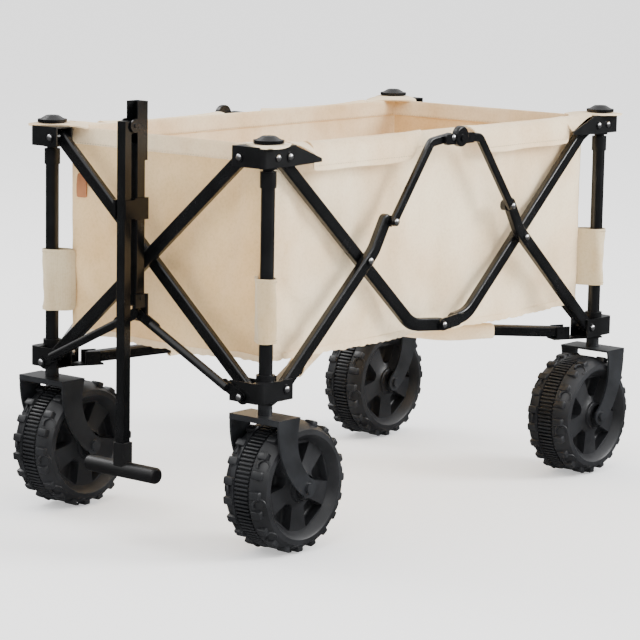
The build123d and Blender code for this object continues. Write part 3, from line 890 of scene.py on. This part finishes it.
class CART_OT_long_hems(bpy.types.Operator):
    """Model the hems rolled over the long sides, cut slanting beside the middle hub"""

    bl_idname = "cart.long_hems"
    bl_label = "Long hems"

    def execute(self, context):
        depth = context.scene.cart_canvas.hem
        for c, (sx, sy) in CORNERS.items():
            start, top_end, low_end = WING_TIP + 0.003, 0.040, 0.082
            rows = []
            for i in range(26):
                t = i / 25
                row = []
                for j, (out, drop) in enumerate(HEM_ROLL):
                    u = j / (len(HEM_ROLL) - 1)
                    far = start + (top_end + (low_end - top_end) * u - start) * t
                    wave = noise(far * 24 + sx, 3 + sy, u * 1.8, 4)
                    y = HALF_Y + out * (1 - 0.10 * math.sin(math.pi * t)) + 0.0016 * wave * u
                    sag = 0.0030 * math.sin(math.pi * t)
                    z = HIGH + drop * depth / 0.040 - sag + 0.0012 * math.sin(far * 43 + sy) * u
                    row.append(Vector((CART_X + sx * far, sy * y, z)))
                rows.append(row)
            piece = cloth_strip("long_hem_" + c, rows, "top_" + c, 0.0020, 2)
            verts, faces = [], []
            out = Vector((0, sy, 0))
            seam = (start - 0.003, low_end + 0.003)
            ends = [Vector((CART_X + sx * far, sy * HALF_Y, HIGH - 0.031)) for far in seam]
            sew(verts, faces, piece, *ends, out, 0.0052, 0.05)
            thread = thread_piece("long_hem_stitch_" + c, verts, faces)
            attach(thread, "top_" + c)
            for one in (piece, thread):
                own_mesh(one)
            self.wing_cloth(c, sx, sy)
        return {"FINISHED"}

    def wing_cloth(self, c, sx, sy):
        """The cloth that slopes from the rim down onto the bracket's wing, between the tongue and the hem."""
        rows = []
        for i in range(10):
            t = i / 9
            far = 0.352 + (WING_TIP + 0.001 - 0.352) * t
            edge = 0.0010 + 0.0185 * max(0.0, (t - 0.18) / 0.82) ** 1.1
            row = []
            for j in range(7):
                u = j / 6
                y = HALF_Y + (0.0 if j == 0 else 0.0305 * u)
                z = HIGH + 0.0020 * math.sin(math.pi * u) + 0.0030 * (1 - t) * min(1.0, u * 3)
                z = z - edge * u ** 1.7 + 0.0008 * noise(far * 60, u * 3, sy, 6)
                row.append(Vector((CART_X + sx * far, sy * y, z)))
            rows.append(row)
        piece = cloth_strip("wing_cloth_" + c, rows, "top_" + c, 0.0018, 1)


CUFF_LOW, CUFF_HIGH = 0.292, 0.380
CUFF_SEAM_R = 0.0150


def round_post(centre, r, angle, z):
    return Vector((centre.x + r * math.cos(angle), centre.y + r * math.sin(angle), z))


class CART_OT_post_cuffs(bpy.types.Operator):
    """Model the canvas cuffs that tie the bag's corners to the posts"""

    bl_idname = "cart.post_cuffs"
    bl_label = "Post cuffs"

    def execute(self, context):
        for c, (sx, sy) in CORNERS.items():
            centre = Vector((POST[c].x, POST[c].y, 0))
            reach_to = Vector((CART_X + sx * HALF_X, sy * (HALF_Y - 0.010), 0)) - centre
            reach, turn = reach_to.length + 0.001, math.atan2(reach_to.y, reach_to.x)
            rows = []
            for i in range(11):
                z = CUFF_LOW + (CUFF_HIGH - CUFF_LOW) * i / 10
                loose = 1 + 0.05 * math.sin(i * 1.7 + sx + 2 * sy) + (0.06 if i in (0, 10) else 0)
                loop = [(reach, -0.0016), (reach * 0.70, -0.0100 * loose)]
                for k in range(15):
                    a = math.radians(-62 - 236 * k / 14)
                    r = (0.0125 + 0.0012 * math.sin(3 * a + i * 0.4)) * loose
                    loop.append((r * math.cos(a), r * math.sin(a)))
                loop += [(reach * 0.70, 0.0100 * loose), (reach, 0.0016)]
                row = []
                for px, py in loop:
                    x = centre.x + px * math.cos(turn) - py * math.sin(turn)
                    y = centre.y + px * math.sin(turn) + py * math.cos(turn)
                    row.append(Vector((x, y, z)))
                rows.append(row)
            piece = cloth_strip("post_cuff_" + c, rows, "top_" + c, 0.0019, 1)
            # The cuffs take the painted-shade copy of the canvas.
            dress(piece, "canvas_cuff_painted_shade")
            verts, faces = [], []
            for z in (CUFF_LOW + 0.004, CUFF_HIGH - 0.004):
                for k in range(22):
                    a, b = (math.radians(-60 - 240 * (k + d) / 22) + turn for d in (0.12, 0.8))
                    axis = Vector((centre.x, centre.y, z))
                    ends = [round_post(centre, CUFF_SEAM_R, q, z) for q in (a, b)]
                    out = (((ends[0] + ends[1]) / 2) - axis).normalized()
                    hits = [piece.ray_cast(p + out * 0.01, -out, distance=0.02) for p in ends]
                    if all(h[0] for h in hits):
                        dash(verts, faces, hits[0][1], hits[1][1], out)
            thread = thread_piece("post_cuff_stitch_" + c, verts, faces)
            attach(thread, "top_" + c)
        return {"FINISHED"}


SEAM_SIDES = (
    ("right", "top_fr", "x", (0, -1, 0)),
    ("left", "top_fl", "x", (0, 1, 0)),
    ("front", "top_fr", "y", (-1, 0, 0)),
    ("rear", "top_rr", "y", (1, 0, 0)),
)
SEAM_PITCH = 0.0062


class CART_OT_bottom_seam(bpy.types.Operator):
    """Model the gathered seam allowance that stands out along the bottom of the bag"""

    bl_idname = "cart.bottom_seam"
    bl_label = "Bottom seam"

    def execute(self, context):
        for name, body, axis, out in SEAM_SIDES:
            wall = bpy.data.objects["bag_wall_" + name]
            rim = {}
            for v in wall.data.vertices:
                key = round((v.co.x if axis == "x" else v.co.y) / SEAM_PITCH)
                if key not in rim or v.co.z < rim[key].z:
                    rim[key] = v.co.copy()
            path = [rim[k] for k in sorted(rim)]
            normal = Vector(out)
            rows = []
            for p in path:
                run = p.x if axis == "x" else p.y
                frill = 0.0009 * math.sin(run * 520 + 2 * math.sin(run * 90))
                frill = frill + 0.0012 * noise(run * 60, 1, 2, 8)
                row = []
                for j in range(4):
                    u = j / 3
                    hang_down = Vector((0, 0, 0.0022 - (0.0085 + 1.4 * frill) * u))
                    row.append(p + normal * (0.0006 + (0.0018 + frill) * u) + hang_down)
                rows.append(row)
            piece = cloth_strip("bottom_seam_" + name, rows, body, 0.0017, 1)
            if axis == "x":
                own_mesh(piece)
            else:
                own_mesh(piece)
        return {"FINISHED"}


class CART_OT_strut_sleeves(bpy.types.Operator):
    """Model the canvas sleeves sewn under the floor round the struts"""

    bl_idname = "cart.strut_sleeves"
    bl_label = "Strut sleeves"

    def execute(self, context):
        for c, (sx, sy) in CORNERS.items():
            low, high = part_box("strut_" + c)
            outer = Vector((low.x if sx < 0 else high.x, low.y if sy < 0 else high.y, low.z + 0.008))
            inner = Vector((high.x if sx < 0 else low.x, high.y if sy < 0 else low.y, high.z - 0.008))
            along = (inner - outer).normalized()
            side = along.cross(Vector((0, 0, 1))).normalized()
            up = side.cross(along)
            rows = []
            for i in range(13):
                t = 0.40 + 0.52 * i / 12
                row = []
                for k in range(17):
                    a = math.tau * k / 16
                    wide = 0.0122 + 0.0010 * math.sin(2 * a + i * 0.8)
                    slack = 0.0115 + 0.0060 * (0.5 + 0.5 * math.sin(t * 11 + sx))
                    tall = 0.0098 if math.sin(a) > 0 else slack
                    sideways = side * (wide * math.copysign(abs(math.cos(a)) ** 0.6, math.cos(a)))
                    upward = up * (tall * math.copysign(abs(math.sin(a)) ** 0.7, math.sin(a)))
                    row.append(outer.lerp(inner, t) + sideways + upward)
                rows.append(row)
            piece = cloth_strip("strut_sleeve_" + c, rows, "strut_" + c, 0.0016, 1)
        return {"FINISHED"}


TAB_TOP, TAB_INSET = 0.490, 0.016


class CART_OT_tabs(bpy.types.Operator):
    """Model the small leather tab sewn to the front wall of the bag"""

    bl_idname = "cart.tabs"
    bl_label = "Leather tab"

    def execute(self, context):
        wall = bpy.data.objects["bag_wall_front"]
        out = Vector((-1, 0, 0))
        rows = []
        for i in range(8):
            row = []
            for j in range(5):
                p = Vector((CART_X - HALF_X, HALF_Y - TAB_INSET - 0.016 * j / 4, TAB_TOP - 0.034 * i / 7))
                hit, place, _, _ = wall.ray_cast(p + out * 0.05, -out, distance=0.1)
                row.append((place if hit else p) + out * (0.0014 + 0.0016 * math.sin(math.pi * i / 7)))
            rows.append(row)
        piece = cloth_strip("leather_tab_front", rows, "top_fr", 0.0018, 1)
        dress(piece, "leather")
        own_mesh(piece)
        return {"FINISHED"}


# ---------------------------------------------------------------- rivets


def dome(radius, height, segments=20):
    """A rivet head about the origin, rising along +Z from the plane z = 0."""
    clear()
    bpy.ops.mesh.primitive_uv_sphere_add(segments=segments, ring_count=10, radius=radius)
    head = bpy.context.object
    cut_away((0, 0, 0), (0, 0, -1))
    head.scale = (1, 1, height / radius)
    return settle(head)


def place(piece, where, axis):
    """Turns a piece made along +Z to point along axis and moves it there."""
    piece.rotation_euler = Vector(axis).to_track_quat("Z", "Y").to_euler()
    settle(piece)
    piece.location = where
    return settle(piece)


def surface(node, where, axis, reach=0.03):
    """Where a line into a CAD node along -axis first meets it."""
    axis = Vector(axis).normalized()
    hit, spot, _, _ = NODES[node].ray_cast(Vector(where) + axis * reach, -axis, distance=2 * reach)
    return spot if hit else None


NO_RIVET = ("caster_", "wheel_", "strut_", "handle_")
RIVET_R, RIVET_H = 0.0046, 0.0023


class CART_OT_rivets(bpy.types.Operator):
    """Put a bright plated head on each pin of the frame"""

    bl_idname = "cart.rivets"
    bl_label = "Plated rivets"

    def execute(self, context):
        pins = []
        for joint in frame["joints"]:
            if joint["type"] != "hinge" or joint["name"].startswith(NO_RIVET):
                continue
            spot, axis = Vector(joint["pos_m"]), Vector(joint["axis"]).normalized()
            for turn in (1, -1):
                pins.append((spot, axis * turn, (joint["parent"], joint["child"])))
        bodies = frame["record"]["behaviour"]["bodies"]
        pins += self.more_pins()
        model = dome(RIVET_R, RIVET_H)
        groups = {}
        for spot, axis, pair in pins:
            best = None
            for body in pair:
                for node in bodies[body]:
                    if node.startswith(("bag_", "wheel_")):
                        continue
                    at = surface(node, spot, axis, 0.045)
                    if at is not None and (best is None or (at - best[1]).dot(axis) > 0):
                        best = (body, at)
            if best is None:
                continue
            head = copy_piece(model, "head")
            place(head, best[1] - axis * 0.0002, axis)
            groups.setdefault(best[0], []).append(head)
        bpy.data.objects.remove(model)
        for body, heads in groups.items():
            piece = join(heads, "rivets_" + body)
            smooth(piece, 40)
            dress(piece, "rivet")
            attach(piece, body)
        return {"FINISHED"}

    def more_pins(self):
        """The pins that close the loops of the frame, which no joint carries."""
        found = []
        joints = {j["name"]: j for j in frame["joints"]}
        side, end = Vector((0, 1, 0)), Vector((1, 0, 0))
        front, rear = joints["front_cross_pin"]["pos_m"], joints["rear_low_pin"]["pos_m"]
        low, high = joints["front_low_pin"]["pos_m"], joints["front_top_pin"]["pos_m"]
        for turn in (1, -1):
            found.append((Vector((rear[0], 0, front[2])), end * turn, ("cross_r1", "cross_r2")))
            found.append((Vector((rear[0], high[1], high[2])), end * turn, ("top_rl",)))
            found.append((Vector((rear[0], low[1], high[2])), end * turn, ("top_rr",)))
            found.append((Vector((low[0], low[1], high[2])), end * turn, ("top_fr",)))
            found.append((Vector((rear[0], high[1], low[2])), end * turn, ("low_rl",)))
        for c, (sx, sy) in CORNERS.items():
            beside_post = Vector((POST[c].x - 0.001 * sx, POST[c].y, high[2]))
            found.append((beside_post, side * sy, ("top_" + c,)))
        return found


# ---------------------------------------------------------------- stage


SKY_HIGH, SKY_LOW = 1.75, 0.10
LAMPS = (
    ((2.6, -3.6, 2.4), (0, 0, 0.25), 1.8, 260),
    ((-3.6, -1.6, 3.0), (-0.2, 0, 0.3), 1.2, 38),
    ((-0.6, 3.2, 3.2), (0, 0, 0.3), 2.0, 90),
)


CAMERA_AZIMUTH, CAMERA_ELEVATION, CAMERA_ROLL = -50.2, 9.2, 0.98
CAMERA_DISTANCE, CAMERA_LENS = 4.085, 152.983125
AIM_HEIGHT, AIM_SHIFT = 0.2553, -0.0209
FLOOR_SIZE = 160


class CART_OT_stage(bpy.types.Operator):
    """Add the pale floor, the soft lights and the camera"""

    bl_idname = "cart.stage"
    bl_label = "Stage"

    def execute(self, context):
        clear()
        bpy.ops.mesh.primitive_plane_add(size=FLOOR_SIZE, location=(0, 0, -0.0006))
        floor = named("stage_floor")
        settle(floor)
        floor.data.materials.append(finish("floor"))
        floor.visible_glossy = False
        world = bpy.data.worlds.new("studio")
        context.scene.world = world
        world.use_nodes = True
        tree = world.node_tree
        tree.nodes["Background"].inputs["Color"].default_value = (1.0, 1.0, 1.0, 1)
        coords = tree.nodes.new("ShaderNodeTexCoord")
        split = tree.nodes.new("ShaderNodeSeparateXYZ")
        lift = tree.nodes.new("ShaderNodeMapRange")
        lift.inputs["From Min"].default_value, lift.inputs["From Max"].default_value = 0.10, 0.55
        lift.inputs["To Min"].default_value, lift.inputs["To Max"].default_value = SKY_LOW, SKY_HIGH
        tree.links.new(coords.outputs["Generated"], split.inputs["Vector"])
        tree.links.new(split.outputs["Z"], lift.inputs["Value"])
        tree.links.new(lift.outputs["Result"], tree.nodes["Background"].inputs["Strength"])
        for where, aim, size, power in LAMPS:
            clear()
            bpy.ops.object.light_add(type="AREA", location=where)
            lamp = bpy.context.object
            lamp.data.size = size
            lamp.data.energy = power
            lamp.rotation_euler = (Vector(aim) - Vector(where)).to_track_quat("-Z", "Y").to_euler()
        azimuth, elevation = math.radians(CAMERA_AZIMUTH), math.radians(CAMERA_ELEVATION)
        level = math.cos(elevation)
        back = Vector((math.sin(azimuth) * level, -math.cos(azimuth) * level, math.sin(elevation)))
        side = Vector((math.cos(azimuth), math.sin(azimuth), 0))
        aim = Vector((CART_X, 0, AIM_HEIGHT)) + side * AIM_SHIFT
        cam = bpy.data.cameras.new("camera")
        cam_obj = bpy.data.objects.new("camera", cam)
        context.collection.objects.link(cam_obj)
        cam.sensor_width = 36
        cam.lens = CAMERA_LENS
        up = back.cross(side)
        turn = Matrix((side, up, back)).transposed().to_4x4()
        roll = Matrix.Rotation(math.radians(CAMERA_ROLL), 4, "Z")
        cam_obj.matrix_world = Matrix.Translation(aim + back * CAMERA_DISTANCE) @ turn @ roll
        context.scene.camera = cam_obj
        return {"FINISHED"}


class CART_PT_panel(bpy.types.Panel):
    """Buttons for each group of pieces"""

    bl_idname = "CART_PT_panel"
    bl_label = "Beach Cart"
    bl_space_type = "VIEW_3D"
    bl_region_type = "UI"
    bl_category = "Beach Cart"

    def draw(self, context):
        for group in (context.scene.cart_canvas, context.scene.cart_wheels, context.scene.cart_metal):
            for key in group.bl_rna.properties.keys():
                if key not in ("rna_type", "name"):
                    self.layout.prop(group, key)
        for cls in STEPS:
            self.layout.operator(cls.bl_idname)


STEPS = (
    CART_OT_frame_finishes,
    CART_OT_wheels,
    CART_OT_bag,
    CART_OT_tongues,
    CART_OT_long_hems,
    CART_OT_post_cuffs,
    CART_OT_bottom_seam,
    CART_OT_strut_sleeves,
    CART_OT_tabs,
    CART_OT_rivets,
    CART_OT_stage,
)
GROUPS = (CartCanvas, CartWheels, CartMetal)


def register():
    for cls in (*GROUPS, *STEPS, CART_PT_panel):
        bpy.utils.register_class(cls)
    bpy.types.Scene.cart_canvas = bpy.props.PointerProperty(type=CartCanvas)
    bpy.types.Scene.cart_wheels = bpy.props.PointerProperty(type=CartWheels)
    bpy.types.Scene.cart_metal = bpy.props.PointerProperty(type=CartMetal)


def unregister():
    del bpy.types.Scene.cart_metal
    del bpy.types.Scene.cart_wheels
    del bpy.types.Scene.cart_canvas
    for cls in reversed((*GROUPS, *STEPS, CART_PT_panel)):
        bpy.utils.unregister_class(cls)


def main():
    register()
    clear()
    for cls in STEPS:
        area, name = cls.bl_idname.split(".")
        getattr(getattr(bpy.ops, area), name)()


if __name__ == "__main__":
    main()
